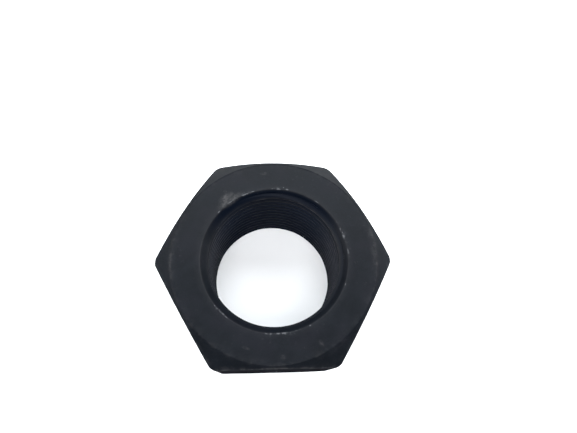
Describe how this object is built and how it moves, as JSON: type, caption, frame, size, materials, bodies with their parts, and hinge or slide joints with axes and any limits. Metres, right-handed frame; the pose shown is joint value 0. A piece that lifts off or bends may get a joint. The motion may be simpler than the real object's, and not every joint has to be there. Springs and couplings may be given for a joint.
{
  "type": "hex nut",
  "caption": "Heavy black-oxide steel hex nut with a fine right-hand metric thread, chamfered corners and a countersunk bore at both faces.",
  "frame": {"origin": "middle of the lower bearing face, on the axis of the bore", "axes": "+Z along the bore, from the lower bearing face to the upper one; +X through a corner of the hexagon; +Y through the middle of a wrench flat"},
  "size_m": [0.1082, 0.095, 0.051],
  "materials": {
    "black_oxide_steel": "satin"
  },
  "bodies": {
    "root": {"hex_nut": "black_oxide_steel"}
  },
  "joints": []
}
